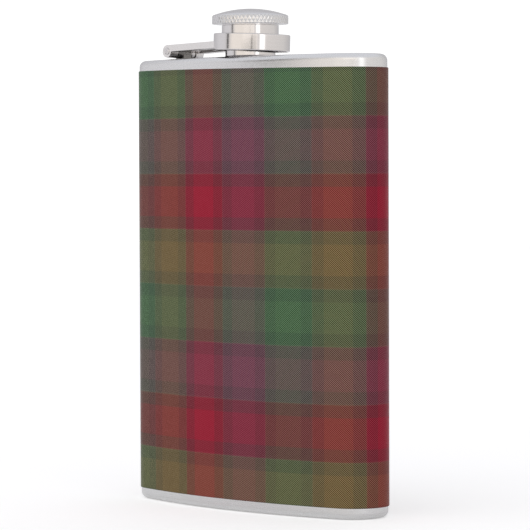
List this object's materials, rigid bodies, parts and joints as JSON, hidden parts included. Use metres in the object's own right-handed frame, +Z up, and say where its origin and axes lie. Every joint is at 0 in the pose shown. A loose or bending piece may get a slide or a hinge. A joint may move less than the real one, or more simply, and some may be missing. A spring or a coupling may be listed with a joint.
{
  "type": "hip flask",
  "caption": "Curved steel hip flask in a tartan wrap, with a knurled screw cap captive in a collar on a side hinge.",
  "frame": {"origin": "on the resting face, where the curved centre line of the body crosses its middle", "axes": "+Z up towards the cap, +X along the width away from the hinge, -Y towards the bulging front"},
  "size_m": [0.0954, 0.0258, 0.1455],
  "materials": {
    "brushed_body": "satin",
    "polished_steel": "polished",
    "dark_steel": "satin",
    "tartan_vinyl": "semi-gloss",
    "seal": "matte"
  },
  "bodies": {
    "flask": {"body_sleeve": "brushed_body", "top_pan": "brushed_body", "base_pan": "brushed_body", "vinyl_wrap": "tartan_vinyl", "filler_neck": "polished_steel", "hinge_knuckle": "dark_steel"},
    "arm": {"hinge_arm": "brushed_body", "collar_ring": "polished_steel", "hinge_pin": "polished_steel", "spacer_washer": "polished_steel"},
    "seal": {"seal_washer": "seal"},
    "cap": {"cap_crown": "polished_steel", "cap_barrel": "polished_steel", "retaining_ring": "polished_steel"}
  },
  "joints": [
    {"name": "arm_swing", "type": "hinge", "parent": "flask", "child": "arm", "pos_m": [-0.0287, 0.001, 0.1336], "axis": [0, -0.9993, 0.0384], "range_deg": [0, 168]},
    {"name": "cap_rise", "type": "slide", "parent": "arm", "child": "seal", "axis": [0, 0, 1], "range_m": [0, 0.0016]},
    {"name": "cap_turn", "type": "hinge", "parent": "seal", "child": "cap", "pos_m": [0, 0.001, 0.14], "axis": [0, 0, 1], "range_deg": [0, 450]}
  ],
  "couplings": [
    {"joint": "cap_rise", "follows": "cap_turn", "m_per_rad": 0.00019894}
  ]
}
